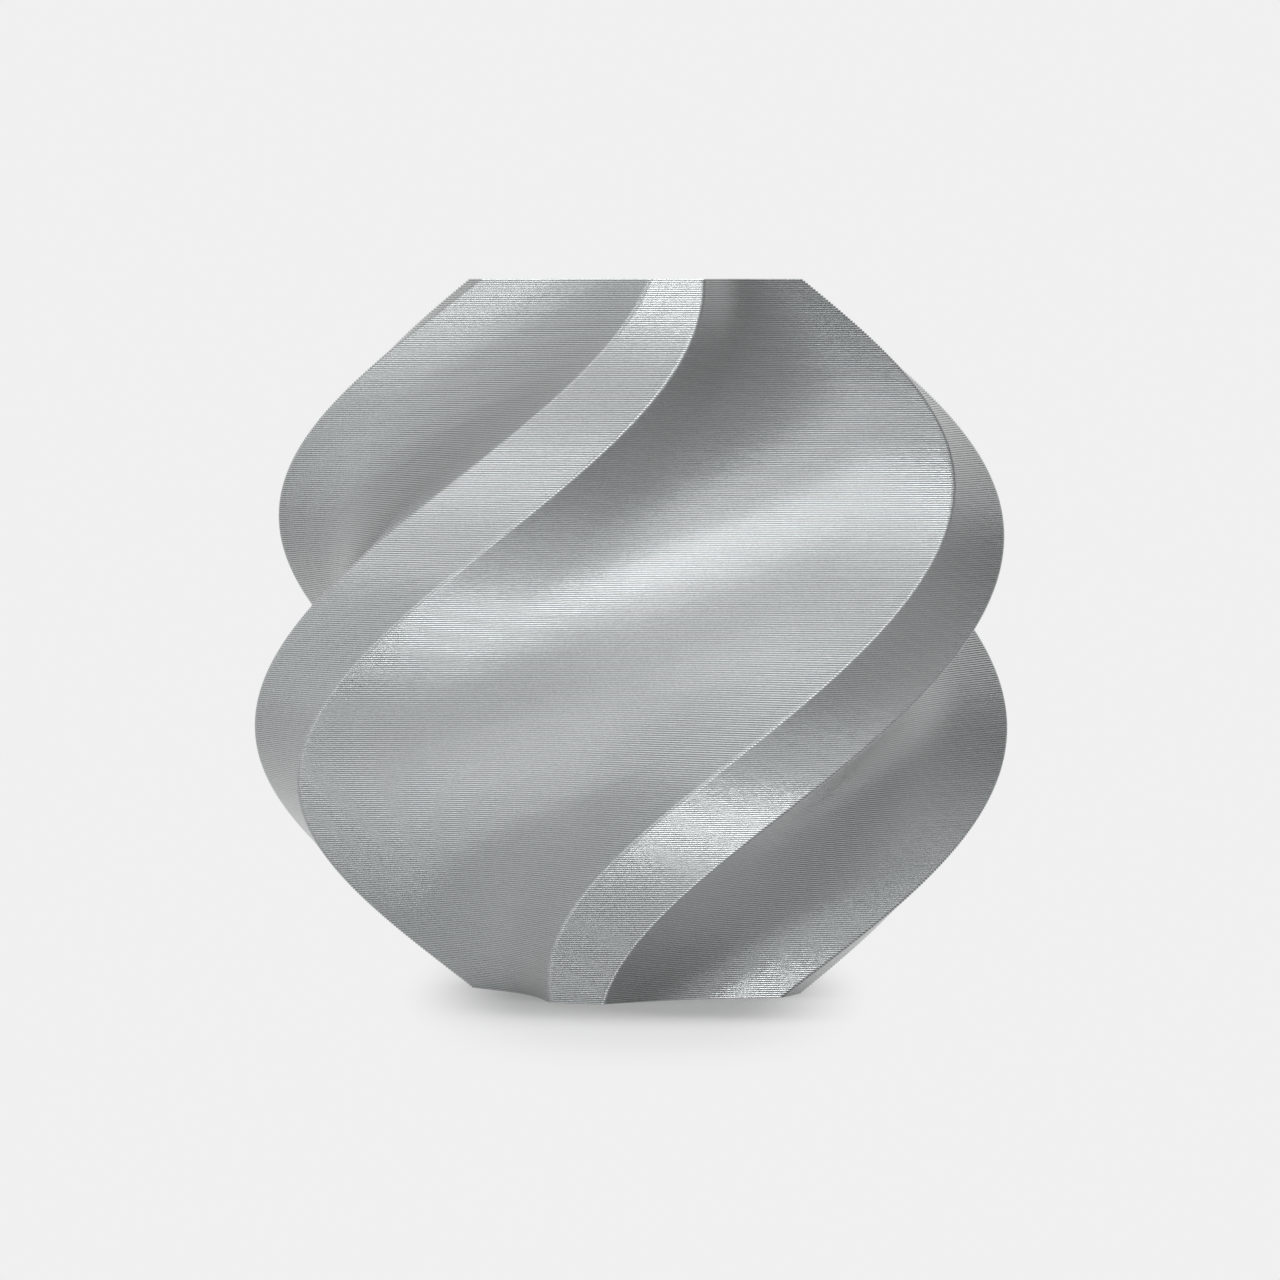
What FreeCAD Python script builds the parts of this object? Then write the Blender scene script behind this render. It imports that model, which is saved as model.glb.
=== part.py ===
# A twisted vase with a round belly, 3D printed upright in one go from silver filament.
# The print is the sum of its laid beads: an outer wall, an inner wall and a floor of solid layers.
# Z is up, the origin is the centre of the foot on the surface that it stands on, and -Y is the front.
# All sizes are in millimetres and all angles in degrees.
import FreeCAD, Part
import math
import os

# Layers, from the surface up
layer_height = 0.2
layer_count = 342
floor_layer_count = 4

# Widths of the two beads that make the wall, across it in plan
outer_bead = 0.42
inner_bead = 0.45

# Distance from the axis to the rib edges at the foot, the belly and the mouth
foot_radius = 16.15
belly_radius = 39.2
mouth_radius = 16.05
# How much fuller than a plain sine curve the side is
fullness = 0.0275

# Plan of the belly: narrow flat ribs, with wide hollow flutes between them
rib_count = 4
rib_angle = 19.1
# Slope of a flute's two flat flanks, against the straight line from rib to rib
flank_angle = 13.2
# Radius of the round bottom between the flanks, where the belly is widest
flute_radius = 55.0
# Rounding of the rib edges on the outside, the same at every height
edge_radius = 0.6
# Least rounding of the same edges further in, where the filament turns the corner
inner_edge_radius = 0.1

# Turn of the ribs from the foot to the mouth, counter-clockwise seen from above
twist_angle = 125.2
# Direction of the first rib at the foot, from +X
foot_rib_angle = -20.9

# Sections that each surface passes through
section_count = 25

height = layer_count * layer_height
wall = outer_bead + inner_bead
floor_thickness = floor_layer_count * layer_height
pitch_angle = 360.0 / rib_count


def edge_distance(z):
    """Distance of the rib edges from the axis at height z."""
    share = z / height
    straight = foot_radius + (mouth_radius - foot_radius) * share
    bulge = (1 + fullness) * math.sin(math.pi * share) + fullness * math.sin(3 * math.pi * share)
    return straight + (belly_radius - straight) * bulge


def polar(distance, angle):
    """A plan point at that distance and angle from the axis."""
    turn = math.radians(angle)
    return FreeCAD.Vector(distance * math.cos(turn), distance * math.sin(turn), 0)


def mirrored(point):
    """The point's mirror image across the X axis."""
    return FreeCAD.Vector(point.x, -point.y, 0)


def meeting(rib_level, flank_level, flank_direction):
    """Where a rib's straight run, which faces along X, meets a flank that faces flank_direction.

    Each level is the distance from the axis to that run, along the way that it faces.
    """
    turn = math.radians(flank_direction)
    return FreeCAD.Vector(rib_level, (flank_level - rib_level * math.cos(turn)) / math.sin(turn), 0)


def plan_edges(z, inset):
    """The closed plan outline at height z, moved inwards by inset, as a list of edges.

    A rib is a straight run between two rounded edges. A flute is two straight flanks and the arc that runs
    smoothly from one to the other. Both shrink with the body, and the rounding of the rib edges doesn't.
    """
    distance = edge_distance(z)
    half_rib = rib_angle / 2
    half_flute = (pitch_angle - rib_angle) / 2
    flank_direction = pitch_angle / 2 + flank_angle
    flank_turn = math.radians(flank_angle)

    # The flute beside the rib at angle 0: the corner where it starts, and the arc at its bottom
    corner = polar(distance, half_rib)
    arc_radius = flute_radius * distance / belly_radius
    half_chord = distance * math.sin(math.radians(half_flute))
    drop = (half_chord - arc_radius * math.sin(flank_turn)) * math.tan(flank_turn)
    arc_away = distance * math.cos(math.radians(half_flute)) - drop + arc_radius * math.cos(flank_turn)
    arc_centre = polar(arc_away, pitch_angle / 2)

    # The rounded corner and the first half of the flute, moved inwards
    rounding = max(edge_radius - inset, inner_edge_radius)
    reach = inset + rounding
    flank_level = corner.dot(polar(1, flank_direction))
    round_centre = meeting(corner.x - reach, flank_level - reach, flank_direction)
    rib_end = round_centre + polar(rounding, 0)
    round_middle = round_centre + polar(rounding, flank_direction / 2)
    flank_start = round_centre + polar(rounding, flank_direction)
    flank_end = arc_centre - polar(arc_radius + inset, flank_direction)
    flute_bottom = arc_centre - polar(arc_radius + inset, pitch_angle / 2)

    # The second half of the flute mirrors the first, and ends at the next rib
    to_next = FreeCAD.Rotation(FreeCAD.Vector(0, 0, 1), pitch_angle)
    next_flank_end = to_next.multVec(mirrored(flank_end))
    next_flank_start = to_next.multVec(mirrored(flank_start))
    next_middle = to_next.multVec(mirrored(round_middle))
    next_rib = to_next.multVec(mirrored(rib_end))
    runs = [
        [mirrored(rib_end), rib_end],
        [rib_end, round_middle, flank_start],
        [flank_start, flank_end],
        [flank_end, flute_bottom, next_flank_end],
        [next_flank_end, next_flank_start],
        [next_flank_start, next_middle, next_rib],
    ]
    edges = []
    for rib in range(rib_count):
        direction = foot_rib_angle + twist_angle * z / height + rib * pitch_angle
        turn = FreeCAD.Rotation(FreeCAD.Vector(0, 0, 1), direction)
        place = FreeCAD.Placement(FreeCAD.Vector(0, 0, z), turn)
        for run in runs:
            points = [place.multVec(point) for point in run]
            curve = Part.Arc(*points) if len(points) == 3 else Part.LineSegment(*points)
            edges.append(curve.toShape())
    return edges


def body(inset):
    """The whole vase as a solid, with its side moved inwards by inset."""
    heights = [height * step / (section_count - 1) for step in range(section_count)]
    outlines = [Part.Wire(plan_edges(z, inset)) for z in heights]
    return Part.makeLoft(outlines, True, False)


def slab(low, high):
    """The space between two heights, wide enough for the whole vase."""
    width = 4 * belly_radius
    return Part.makeBox(width, width, high - low, FreeCAD.Vector(-width / 2, -width / 2, low))


# The walls run from the surface to the rim, and the floor fills the space inside them
outer_body = body(0)
middle_body = body(outer_bead)
hollow_body = body(wall)

parts = {
    "outer_wall": outer_body.cut(middle_body),
    "inner_wall": middle_body.cut(hollow_body),
    "first_floor_layer": hollow_body.common(slab(0, layer_height)),
    "upper_floor_layers": hollow_body.common(slab(layer_height, floor_thickness)),
}

os.makedirs("parts", exist_ok=True)
for name, shape in parts.items():
    shape.exportStep("parts/" + name + ".step")
    box = shape.BoundBox
    print(name, shape.isValid(), len(shape.Solids), "volume %.1f" % shape.Volume,
          "size %.2f %.2f %.2f" % (box.XLength, box.YLength, box.ZLength))
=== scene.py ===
import bpy
import math
import numpy as np
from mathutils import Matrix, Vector

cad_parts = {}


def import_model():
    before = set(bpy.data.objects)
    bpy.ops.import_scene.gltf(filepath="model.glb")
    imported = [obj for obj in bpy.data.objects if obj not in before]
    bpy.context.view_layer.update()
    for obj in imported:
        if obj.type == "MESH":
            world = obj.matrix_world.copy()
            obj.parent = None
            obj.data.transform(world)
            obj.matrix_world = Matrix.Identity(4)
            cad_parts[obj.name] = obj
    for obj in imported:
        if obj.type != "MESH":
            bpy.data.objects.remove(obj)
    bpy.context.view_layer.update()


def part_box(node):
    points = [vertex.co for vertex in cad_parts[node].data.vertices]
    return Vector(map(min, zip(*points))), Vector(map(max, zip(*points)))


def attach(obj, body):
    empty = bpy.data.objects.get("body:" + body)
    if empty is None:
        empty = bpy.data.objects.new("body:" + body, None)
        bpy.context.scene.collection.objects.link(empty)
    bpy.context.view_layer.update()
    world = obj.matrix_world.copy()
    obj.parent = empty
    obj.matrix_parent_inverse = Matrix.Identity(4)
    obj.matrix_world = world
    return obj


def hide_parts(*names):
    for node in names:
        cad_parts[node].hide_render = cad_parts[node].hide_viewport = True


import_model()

# Everything is in metres, with Z up and the vase's front towards -Y.
MM = 0.001

# Printed layers
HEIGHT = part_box("outer_wall")[1].z
LAYER = 0.2 * MM
LAYERS = round(HEIGHT / LAYER)

# Beads across the wall, in plan
OUTER_BEAD = 0.42 * MM
INNER_BEAD = 0.45 * MM
WALL = OUTER_BEAD + INNER_BEAD

# Distance from the axis to the rib edges, as in the solids. With no fullness the belly is half a sine wave
FOOT_RADIUS = 16.15 * MM
BELLY_RADIUS = 39.2 * MM
MOUTH_RADIUS = 16.05 * MM
FULLNESS = 0.0275

# Plan of the belly, as in the solids. Rib edges are rounded less further in, down to the second radius. The
# twist is from foot to rim, and the last angle is the first rib's at the foot
RIBS = 4
PITCH = 2 * math.pi / RIBS
RIB_ANGLE = math.radians(19.1)
FLANK_ANGLE = math.radians(13.2)
FLUTE_RADIUS = 55.0 * MM
EDGE_RADIUS = 0.6 * MM
INNER_EDGE_RADIUS = 0.1 * MM
TWIST_ANGLE = math.radians(125.2)
FOOT_RIB_ANGLE = math.radians(-20.9)

# Depth of the groove between two layers, its spread from layer to layer, and how far in a bead strays
GROOVE = 0.042 * MM
GROOVE_SPREAD = 0.06
WANDER = 0.001 * MM

# Points along a rib edge and the bottom of a flute, across the round face of a bead and over the last bead
EDGE_STEPS = 5
FLUTE_STEPS = 14
BEAD_STEPS = 4
RIM_STEPS = 8
# Straight runs get a point this far from each end, which keeps their shading flat
GUARD = 0.2 * MM

# Lines of the solid floor layers: width, depth of the grooves on the top and under the foot, direction, and
# steps across one line
FLOOR_LINE = 0.45 * MM
FLOOR_GROOVE = 0.035 * MM
FOOT_GROOVE = 0.015 * MM
FLOOR_LINE_ANGLE = math.radians(45)
FLOOR_LINE_STEPS = 5
# How far the floor lines run into the wall
FLOOR_OVERLAP = 0.04 * MM
# Edges of the floor lines that turn by more than this are shaded sharp
SHARP_ANGLE = math.radians(8)
# Marks the bottoms of the grooves, where the colour is darkened as painted shade
PAINTED_SHADE_ATTRIBUTE = "groove"

# A wall is several courses of layers, so that no mesh is too large
COURSES = ("lower", "middle", "upper")
LAYERS_PER_BACK_RING = 3


def edge_distance(z):
    """Distance of the rib edges from the axis at height z."""
    share = z / HEIGHT
    straight = FOOT_RADIUS + (MOUTH_RADIUS - FOOT_RADIUS) * share
    bulge = (1 + FULLNESS) * math.sin(math.pi * share) + FULLNESS * math.sin(3 * math.pi * share)
    return straight + (BELLY_RADIUS - straight) * bulge


def turned(points, angle):
    """Plan points turned about the axis."""
    turn = np.array([[math.cos(angle), math.sin(angle)], [-math.sin(angle), math.cos(angle)]])
    return points @ turn


def polar(distance, angle):
    """The plan point at this distance and direction from the axis."""
    return distance * np.array([math.cos(angle), math.sin(angle)])


def meeting(rib_level, flank_level, flank_direction):
    """Where a rib's straight run, which faces along X, meets a flank that faces flank_direction."""
    y = (flank_level - rib_level * math.cos(flank_direction)) / math.sin(flank_direction)
    return np.array([rib_level, y])


def straight(start, end):
    """Plan points of a straight run, without its last."""
    guard = (end - start) / np.linalg.norm(end - start) * GUARD
    return [start, start + guard, end - guard]


def arc(centre, radius, first, last, steps):
    """Plan points of an arc between two directions from its centre, without its last."""
    return [centre + polar(radius, first + (last - first) * step / steps) for step in range(steps)]


def outline(z, inset):
    """The closed plan outline at height z, moved inwards by inset, counter-clockwise from above."""
    distance = edge_distance(z)
    half_rib = RIB_ANGLE / 2
    half_flute = (PITCH - RIB_ANGLE) / 2
    facing = PITCH / 2 + FLANK_ANGLE

    # The flute beside the rib at angle 0: the corner where it starts, and the arc at its bottom
    corner = polar(distance, half_rib)
    arc_radius = FLUTE_RADIUS * distance / BELLY_RADIUS
    half_chord = distance * math.sin(half_flute)
    drop = (half_chord - arc_radius * math.sin(FLANK_ANGLE)) * math.tan(FLANK_ANGLE)
    arc_away = distance * math.cos(half_flute) - drop + arc_radius * math.cos(FLANK_ANGLE)
    arc_centre = polar(arc_away, PITCH / 2)

    # The rounded corner and the first half of the flute, moved inwards, and their mirror images
    rounding = max(EDGE_RADIUS - inset, INNER_EDGE_RADIUS)
    reach = inset + rounding
    bottom_radius = arc_radius + inset
    centre = meeting(corner[0] - reach, corner @ polar(1, facing) - reach, facing)
    rib_end = centre + polar(rounding, 0)
    flank_start = centre + polar(rounding, facing)
    flank_end = arc_centre - polar(bottom_radius, facing)
    mirror = np.array([1, -1])
    next_flank = turned(np.array([flank_end * mirror, flank_start * mirror]), PITCH)
    next_centre = turned(centre * mirror, PITCH)
    side = np.array(
        straight(rib_end * mirror, rib_end)
        + arc(centre, rounding, 0, facing, EDGE_STEPS)
        + straight(flank_start, flank_end)
        + arc(arc_centre, -bottom_radius, facing, PITCH - facing, FLUTE_STEPS)
        + straight(*next_flank)
        + arc(next_centre, rounding, PITCH - facing, PITCH, EDGE_STEPS)
    )
    direction = FOOT_RIB_ANGLE + TWIST_ANGLE * z / HEIGHT
    return np.concatenate([turned(side, direction + PITCH * rib) for rib in range(RIBS)])


def bead_profile(groove):
    """Points up the round face of a bead: (height above the layer's foot, depth inside the wall's face)."""
    half = LAYER / 2
    radius = (half**2 + groove**2) / (2 * groove)
    widest = math.asin(half / radius)
    turns = np.linspace(-widest, widest, BEAD_STEPS + 1)
    return [(half + radius * math.sin(turn), radius * (1 - math.cos(turn))) for turn in turns]


def rim_profile(groove, width):
    """The same for the last bead, which has nothing on top: up its lower half and over its round top."""
    half = LAYER / 2
    lower = [point for point in bead_profile(groove) if point[0] < half]
    turns = [math.pi * step / RIM_STEPS for step in range(RIM_STEPS)]
    over = [(half + half * math.sin(turn), width / 2 * (1 - math.cos(turn))) for turn in turns]
    return lower + over


def ring_mesh(name, rings, bead_ends):
    """A closed band of quads through rings of equal length, and from the last ring back to the first.

    The rings in bead_ends lie in the grooves: their edges are sharp.
    """
    rows = len(rings)
    columns = len(rings[0])
    points = np.concatenate(rings)
    row = np.arange(rows)[:, None]
    column = np.arange(columns)[None, :]
    next_row = (row + 1) % rows
    next_column = (column + 1) % columns
    corners = [
        row * columns + column,
        row * columns + next_column,
        next_row * columns + next_column,
        next_row * columns + column,
    ]
    faces = np.stack(corners, -1).reshape(-1, 4)
    mesh = bpy.data.meshes.new(name)
    mesh.from_pydata(points.tolist(), [], faces.tolist())
    mesh.shade_smooth()
    edges = np.empty(2 * len(mesh.edges), int)
    mesh.edges.foreach_get("vertices", edges)
    ends = edges.reshape(-1, 2) // columns
    sharp = (ends[:, 0] == ends[:, 1]) & np.isin(ends[:, 0], bead_ends)
    mesh.attributes.new("sharp_edge", "BOOLEAN", "EDGE").data.foreach_set("value", sharp)
    # Groove bottoms are marked with 1; there the colour gets its painted shade
    groove = np.repeat(np.isin(np.arange(rows), bead_ends), columns).astype(float)
    mesh.attributes.new(PAINTED_SHADE_ATTRIBUTE, "FLOAT", "POINT").data.foreach_set("value", groove)

    # The bake's own map: once round the vase across, and the way over the beads upwards
    middles = np.stack([ring.mean(0) for ring in rings])
    reach = np.array([np.linalg.norm(ring[:, :2], axis=1).mean() for ring in rings])
    steps = np.hypot(np.diff(reach, append=reach[0]), np.diff(middles[:, 2], append=middles[0, 2]))
    upwards = np.concatenate([[0], np.cumsum(steps)]) / steps.sum()
    across = np.arange(columns + 1) / columns
    u = np.stack([across[:-1], across[1:], across[1:], across[:-1]], -1)
    v = np.stack([upwards[:-1], upwards[:-1], upwards[1:], upwards[1:]], -1)
    places = np.stack(np.broadcast_arrays(u[None], v[:, None]), -1)
    mesh.uv_layers.new(name="OFBake").data.foreach_set("uv", places.ravel())
    piece = bpy.data.objects.new(name, mesh)
    bpy.context.scene.collection.objects.link(piece)
    return piece


def at_height(plan, z):
    """Plan points as points in space."""
    return np.column_stack([plan, np.full(len(plan), z)])


def wall_course(name, first, last, bead_face, back_face, random):
    """The layers from first up to last of one wall, as a closed ring of beads."""
    inwards = 1 if back_face > bead_face else -1
    top = last
    rings = []
    bead_ends = []
    for layer in range(first, last):
        groove = GROOVE * (1 + GROOVE_SPREAD * random.standard_normal())
        wander = WANDER * abs(random.standard_normal())
        profile = bead_profile(groove)
        if layer == LAYERS - 1:
            profile = rim_profile(groove, abs(back_face - bead_face) - wander)
            # The round top meets the back face at half the last layer's height
            top = last - 0.5
        bead_ends.append(len(rings))
        for height, depth in profile:
            plan = outline((layer + 0.5) * LAYER, bead_face + inwards * (depth + wander))
            rings.append(at_height(plan, layer * LAYER + height))
        bead_ends.append(len(rings) - 1)
    bead_ends.append(len(rings))
    for layer in [top] + list(range(last - LAYERS_PER_BACK_RING, first - 1, -LAYERS_PER_BACK_RING)):
        rings.append(at_height(outline(layer * LAYER, back_face), layer * LAYER))
    bead_ends.append(len(rings) - 1)
    if inwards < 0:
        rings.reverse()
        bead_ends = [len(rings) - 1 - end for end in bead_ends]
    return ring_mesh(name, rings, bead_ends)


def wall(node, bead_face, back_face, seed):
    """One wall in its courses. Its faces are given as distances inside the outline."""
    random = np.random.default_rng(seed)
    count = LAYERS // len(COURSES)
    pieces = []
    for index, course in enumerate(COURSES):
        layers = (index * count, (index + 1) * count)
        piece = wall_course(f"{node}_{course}", *layers, bead_face, back_face, random)
        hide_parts(node)
        pieces.append(piece)
    return pieces


def link(name, points, faces):
    """A new object of these points and faces."""
    mesh = bpy.data.meshes.new(name)
    mesh.from_pydata([tuple(point) for point in points], [], faces)
    piece = bpy.data.objects.new(name, mesh)
    bpy.context.scene.collection.objects.link(piece)
    return piece


def line_block(name, low, high, groove_low, groove_high):
    """A block of straight lines of filament side by side, wider than the floor."""
    reach = MOUTH_RADIUS + FOOT_RADIUS
    count = 2 * round(reach / FLOOR_LINE)
    steps = count * FLOOR_LINE_STEPS
    across = (np.arange(steps + 1) / FLOOR_LINE_STEPS - count / 2) * FLOOR_LINE
    place = (np.arange(steps + 1) / FLOOR_LINE_STEPS) % 1
    round_side = (2 * place - 1) ** 2
    heights = [low + groove_low * round_side, high - groove_high * round_side]
    points = []
    for height in heights:
        for end in (-reach, reach):
            plan = turned(np.column_stack([np.full(steps + 1, end), across]), FLOOR_LINE_ANGLE)
            points.append(np.column_stack([plan, height]))
    row = steps + 1
    # The underside, the top, and the faces at the two ends of the lines
    sides = ((0, 1), (3, 2), (2, 0), (1, 3))
    faces = []
    for a, b in sides:
        for step in range(steps):
            faces.append((a * row + step, a * row + step + 1, b * row + step + 1, b * row + step))
    # The sides along the first line and the last
    faces.append((0, row, 3 * row, 2 * row))
    faces.append((row - 1, 3 * row - 1, 4 * row - 1, 2 * row - 1))
    return link(name, np.concatenate(points), faces)


def prism(name, low, high, inset):
    """The room inside the wall between two heights."""
    rings = [at_height(outline(z, inset), z) for z in (low, high)]
    count = len(rings[0])
    faces = [(i, (i + 1) % count, (i + 1) % count + count, i + count) for i in range(count)]
    faces.append(tuple(range(count))[::-1])
    faces.append(tuple(range(count, 2 * count)))
    return link(name, np.concatenate(rings), faces)


def floor_layers(node, groove_low, groove_high):
    """The lines of one floor node, cut to the room inside the wall."""
    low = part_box(node)[0].z
    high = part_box(node)[1].z
    piece = line_block(node + "_lines", low, high, groove_low, groove_high)
    cutter = prism("cutter", low - LAYER, high + LAYER, WALL - FLOOR_OVERLAP)
    cut = piece.modifiers.new("cut", "BOOLEAN")
    cut.operation = "INTERSECT"
    cut.solver = "EXACT"
    cut.object = cutter
    result = bpy.data.meshes.new_from_object(piece.evaluated_get(bpy.context.evaluated_depsgraph_get()))
    piece.modifiers.clear()
    piece.data = result
    bpy.data.objects.remove(cutter)
    result.shade_smooth()
    result.set_sharp_from_angle(angle=SHARP_ANGLE)
    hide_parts(node)
    return piece


walls = wall("outer_wall", 0, OUTER_BEAD, seed=1) + wall("inner_wall", WALL, OUTER_BEAD, seed=2)
floors = [
    floor_layers("first_floor_layer", FOOT_GROOVE, 0),
    floor_layers("upper_floor_layers", 0, FLOOR_GROOVE),
]


# Silver filament: metal flakes in plastic, which lie along the beads
SILVER = (0.391, 0.408, 0.409)
METALLIC = 0.85
FLAKE_WIDTH = 0.22 * MM
FLAKE_HEIGHT = 0.1 * MM
# How far the flakes' faces tilt, from one side to the other, as a share of the normal's length
FLAKE_TILT = 0.08
GRAIN_DETAIL = 2
# Least and greatest share of the colour, and least and greatest roughness
TONE = (0.7, 1.3)
ROUGHNESS = (0.29, 0.39)
# Painted shade: how much darker the colour is at the bottom of a groove, standing in for the shade there
GROOVE_SHADE = 0.5
# Fine streaks along the beads spread the gloss up and down: a quarter turn from the way round the vase
STREAKS = 0.9
STREAK_TURN = 0.25


def feed(tree, value, socket):
    """Links an output to an input, or gives the input a plain value."""
    if isinstance(value, bpy.types.NodeSocket):
        tree.links.new(value, socket)
    else:
        socket.default_value = value


def vector_step(tree, operation, *values):
    """The output of a vector operation on outputs or plain values."""
    node = tree.nodes.new("ShaderNodeVectorMath")
    node.operation = operation
    sockets = [node.inputs[0], node.inputs["Scale"] if operation == "SCALE" else node.inputs[1]]
    for value, socket in zip(values, sockets):
        feed(tree, value, socket)
    return node.outputs["Value" if operation == "LENGTH" else "Vector"]


def number_step(tree, operation, *values):
    """The output of an operation on outputs or plain numbers."""
    node = tree.nodes.new("ShaderNodeMath")
    node.operation = operation
    for value, socket in zip(values, node.inputs):
        feed(tree, value, socket)
    return node.outputs["Value"]


def spread(tree, value, span):
    """A value from 0 to 1 as one from the first to the second number of span."""
    node = tree.nodes.new("ShaderNodeMapRange")
    feed(tree, value, node.inputs["Value"])
    node.inputs["To Min"].default_value, node.inputs["To Max"].default_value = span
    return node.outputs["Result"]


def object_place(tree):
    """The place on the object, in metres."""
    return tree.nodes.new("ShaderNodeTexCoord").outputs["Object"]


def streaks(tree, shader):
    """Anisotropic gloss. Its numbers stay on the shader's own sockets."""
    shader.inputs["Anisotropic"].default_value = STREAKS
    shader.inputs["Anisotropic Rotation"].default_value = STREAK_TURN
    around = tree.nodes.new("ShaderNodeTangent")
    around.direction_type = "RADIAL"
    around.axis = "Z"
    feed(tree, around.outputs["Tangent"], shader.inputs["Tangent"])


def flake_normal(tree, place):
    """The surface's normal, tilted a little on each flake."""
    flakes = tree.nodes.new("ShaderNodeTexVoronoi")
    flakes.inputs["Scale"].default_value = 1 / FLAKE_WIDTH
    feed(tree, place, flakes.inputs["Vector"])
    centred = vector_step(tree, "SUBTRACT", flakes.outputs["Color"], (0.5, 0.5, 0.5))
    tilt = vector_step(tree, "SCALE", centred, FLAKE_TILT)
    surface = tree.nodes.new("ShaderNodeNewGeometry").outputs["Normal"]
    return vector_step(tree, "NORMALIZE", vector_step(tree, "ADD", surface, tilt))


def filament():
    material = bpy.data.materials.new("silver_filament")
    material.use_nodes = True
    tree = material.node_tree
    shader = tree.nodes["Principled BSDF"]
    shader.inputs["Metallic"].default_value = METALLIC
    streaks(tree, shader)

    # Flakes are wider than they are high
    place = vector_step(tree, "MULTIPLY", object_place(tree), (1, 1, FLAKE_WIDTH / FLAKE_HEIGHT))
    feed(tree, flake_normal(tree, place), shader.inputs["Normal"])
    grain = tree.nodes.new("ShaderNodeTexNoise")
    grain.inputs["Scale"].default_value = 1 / FLAKE_WIDTH
    grain.inputs["Detail"].default_value = GRAIN_DETAIL
    feed(tree, place, grain.inputs["Vector"])
    feed(tree, spread(tree, grain.outputs["Fac"], ROUGHNESS), shader.inputs["Roughness"])

    # Painted shade: the colour, and with it the metal's gloss, darkens towards the bottoms of the grooves
    groove = tree.nodes.new("ShaderNodeAttribute")
    groove.attribute_name = PAINTED_SHADE_ATTRIBUTE
    shade = number_step(tree, "MULTIPLY_ADD", groove.outputs["Fac"], -GROOVE_SHADE, 1)
    tone_and_groove_shade = number_step(tree, "MULTIPLY", spread(tree, grain.outputs["Fac"], TONE), shade)
    feed(tree, vector_step(tree, "SCALE", SILVER, tone_and_groove_shade), shader.inputs["Base Color"])
    return material


silver = filament()
for piece in walls + floors:
    piece.data.materials.append(silver)
    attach(piece, "root")


# Studio: a pale floor that turns into the plain background away from the vase
BACKGROUND = (0.871, 0.871, 0.871, 1)
AMBIENT = 0.08
FLOOR_RADIUS = 0.8
FLOOR_SIDES = 96
FLOOR_COLOUR = (0.60, 0.60, 0.60, 1)
FLOOR_ROUGHNESS = 0.9
FLOOR_GLOSS = 0.1
# The floor's own shading fades out over an ellipse: its half width across, and to front and back, the share
# of it where the fading starts, and how much of the plain background shows even inside that
SHADOW_ACROSS = 23 * MM
SHADOW_ALONG = 112 * MM
SHADOW_CORE = 0.45
SHADOW_LIFT = 0.22


def background_rays(tree):
    """A factor of 1 for rays that see the background: from the camera, or by way of gloss or glass."""
    path = tree.nodes.new("ShaderNodeLightPath")
    seen = path.outputs["Is Camera Ray"]
    for kind in ("Is Glossy Ray", "Is Transmission Ray"):
        seen = number_step(tree, "MAXIMUM", seen, path.outputs[kind])
    return seen


def mix_surface(tree, factor, first, second, output):
    """Mixes two shaders into the material's or the world's surface."""
    mix = tree.nodes.new("ShaderNodeMixShader")
    for value, socket in zip((factor, first, second), mix.inputs):
        feed(tree, value, socket)
    feed(tree, mix.outputs["Shader"], output.inputs["Surface"])


def floor():
    bpy.ops.mesh.primitive_circle_add(vertices=FLOOR_SIDES, radius=FLOOR_RADIUS, fill_type="NGON")
    piece = bpy.context.object
    piece.name = "floor"
    material = bpy.data.materials.new("pale_floor")
    material.use_nodes = True
    tree = material.node_tree
    shader = tree.nodes["Principled BSDF"]
    shader.inputs["Base Color"].default_value = FLOOR_COLOUR
    shader.inputs["Roughness"].default_value = FLOOR_ROUGHNESS
    shader.inputs["Specular IOR Level"].default_value = FLOOR_GLOSS
    plain = tree.nodes.new("ShaderNodeEmission")
    plain.inputs["Color"].default_value = BACKGROUND

    ellipse = vector_step(tree, "DIVIDE", object_place(tree), (SHADOW_ACROSS, SHADOW_ALONG, 1))
    fade = tree.nodes.new("ShaderNodeMapRange")
    fade.interpolation_type = "SMOOTHSTEP"
    fade.inputs["From Min"].default_value = SHADOW_CORE
    fade.inputs["To Min"].default_value = SHADOW_LIFT
    feed(tree, vector_step(tree, "LENGTH", ellipse), fade.inputs["Value"])
    away = number_step(tree, "MULTIPLY", fade.outputs["Result"], background_rays(tree))
    mix_surface(tree, away, shader.outputs["BSDF"], plain.outputs["Emission"], tree.nodes["Material Output"])
    piece.data.materials.append(material)


def world():
    scene_world = bpy.data.worlds.new("studio")
    bpy.context.scene.world = scene_world
    scene_world.use_nodes = True
    tree = scene_world.node_tree
    ambient = tree.nodes["Background"]
    ambient.inputs["Color"].default_value = (1, 1, 1, 1)
    ambient.inputs["Strength"].default_value = AMBIENT
    plain = tree.nodes.new("ShaderNodeBackground")
    plain.inputs["Color"].default_value = BACKGROUND
    shaders = (ambient.outputs["Background"], plain.outputs["Background"])
    mix_surface(tree, background_rays(tree), *shaders, tree.nodes["World Output"])


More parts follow.
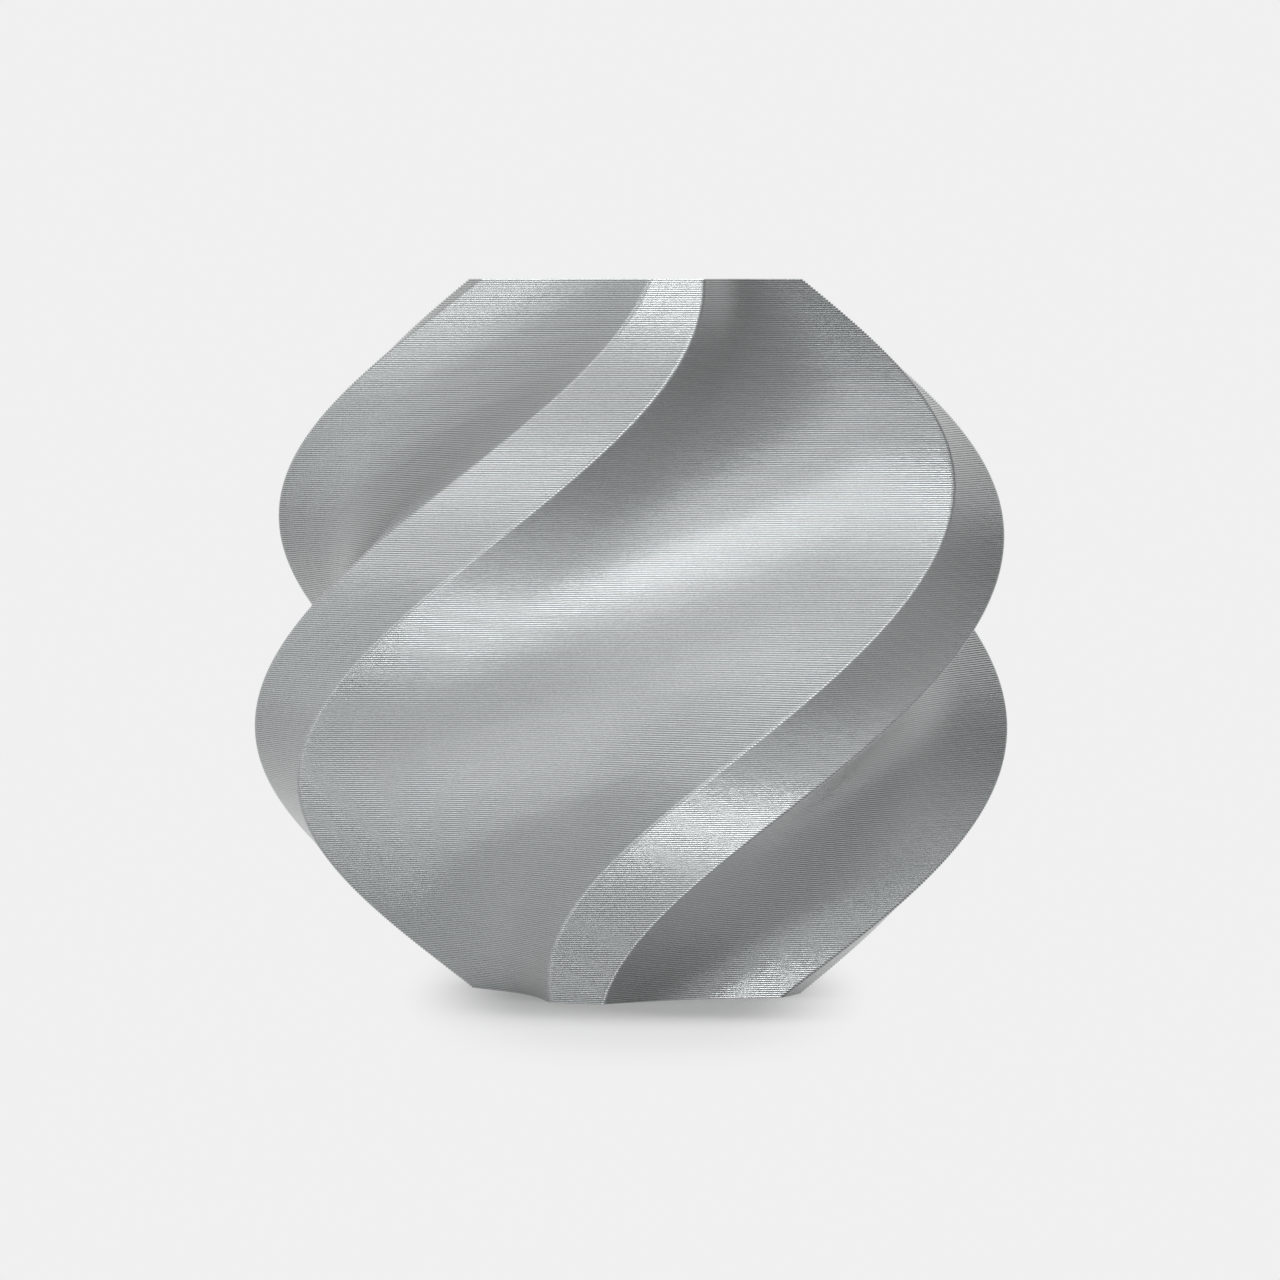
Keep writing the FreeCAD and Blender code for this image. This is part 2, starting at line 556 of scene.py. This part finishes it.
# Softboxes, 1 m from the vase's centre and facing it. Azimuth is from the front towards the right.
# name: (azimuth, elevation), (width, height), watts
LAMP_DISTANCE = 1.0
LAMPS = {
    "key": ((25, 13), (0.35, 0.48), 4.10),
    "key_side": ((10, 13), (0.175, 0.48), 1.18),
    "front": ((-10, 13), (0.52, 0.48), 1.82),
    "left": ((-40, 13), (0.52, 0.48), 2.55),
    "far_left": ((-65, 13), (0.35, 0.48), 1.16),
    "side_left": ((-100, 13), (0.70, 0.48), 0.65),
    "right": ((45, 13), (0.35, 0.48), 0.68),
    "mid_left": ((-90, 42), (0.70, 0.36), 0.72),
    "mid_right": ((90, 42), (0.70, 0.36), 0.20),
    "high_left": ((-72, 65), (0.36, 0.36), 2.60),
    "high_front": ((-18, 65), (0.62, 0.36), 1.25),
    "high_right": ((90, 65), (0.62, 0.36), 3.60),
    "top": ((0, 88), (0.40, 0.40), 1.40),
    "back_left": ((-150, 50), (0.45, 0.45), 1.90),
    "back_right": ((165, 50), (0.45, 0.45), 1.60),
}

# Black cards that keep the pale background out of some reflections: azimuths and elevations
CARD_DISTANCE = 0.95
CARD_COLOUR = (0.01, 0.01, 0.01, 1)
CARDS = {
    "card_right": ((62, 128), (-1, 26)),
    "card_high_front": ((-74, 54), (32, 52)),
}
CARD_STEPS = 12


def studio_place(azimuth, elevation, distance):
    """A point round the vase's centre, and the direction to it."""
    turn = math.radians(azimuth)
    lift = math.radians(elevation)
    way = Vector((math.sin(turn) * math.cos(lift), -math.cos(turn) * math.cos(lift), math.sin(lift)))
    return Vector((0, 0, HEIGHT / 2)) + way * distance, way


def lamps():
    for name, ((azimuth, elevation), size, watts) in LAMPS.items():
        light = bpy.data.lights.new(name, "AREA")
        light.shape = "RECTANGLE"
        light.size, light.size_y = size
        light.energy = watts
        lamp = bpy.data.objects.new(name, light)
        bpy.context.scene.collection.objects.link(lamp)
        lamp.location, way = studio_place(azimuth, elevation, LAMP_DISTANCE)
        lamp.rotation_euler = way.to_track_quat("Z", "Y").to_euler()
        lamp.visible_camera = False


def cards():
    black = bpy.data.materials.new("black_card")
    black.use_nodes = True
    shader = black.node_tree.nodes["Principled BSDF"]
    shader.inputs["Base Color"].default_value = CARD_COLOUR
    shader.inputs["Roughness"].default_value = 1
    for name, (azimuths, elevations) in CARDS.items():
        points = []
        for elevation in elevations:
            for azimuth in np.linspace(*azimuths, CARD_STEPS + 1):
                points.append(studio_place(azimuth, elevation, CARD_DISTANCE)[0])
        row = CARD_STEPS + 1
        faces = [(i, i + 1, row + i + 1, row + i) for i in range(CARD_STEPS)]
        piece = link(name, points, faces)
        piece.data.materials.append(black)
        piece.visible_camera = False


floor()
world()
lamps()
cards()

# Camera: level with the rim, looking slightly down. The lens and the sensor are given in millimetres
CAMERA_DISTANCE = 803.2 * MM
CAMERA_HEIGHT = 68.5 * MM
CAMERA_SIDE = 0.39 * MM
CAMERA_AIM = 33.73 * MM
CAMERA_LENS = 235.4
CAMERA_SENSOR = 36

camera = bpy.data.objects.new("camera", bpy.data.cameras.new("camera"))
bpy.context.scene.collection.objects.link(camera)
camera.location = (CAMERA_SIDE, -CAMERA_DISTANCE, CAMERA_HEIGHT)
aim = Vector((CAMERA_SIDE, 0, CAMERA_AIM))
camera.rotation_euler = (aim - camera.location).to_track_quat("-Z", "Y").to_euler()
camera.data.lens = CAMERA_LENS
camera.data.sensor_width = CAMERA_SENSOR
bpy.context.scene.camera = camera
bpy.context.scene.view_settings.view_transform = "Standard"
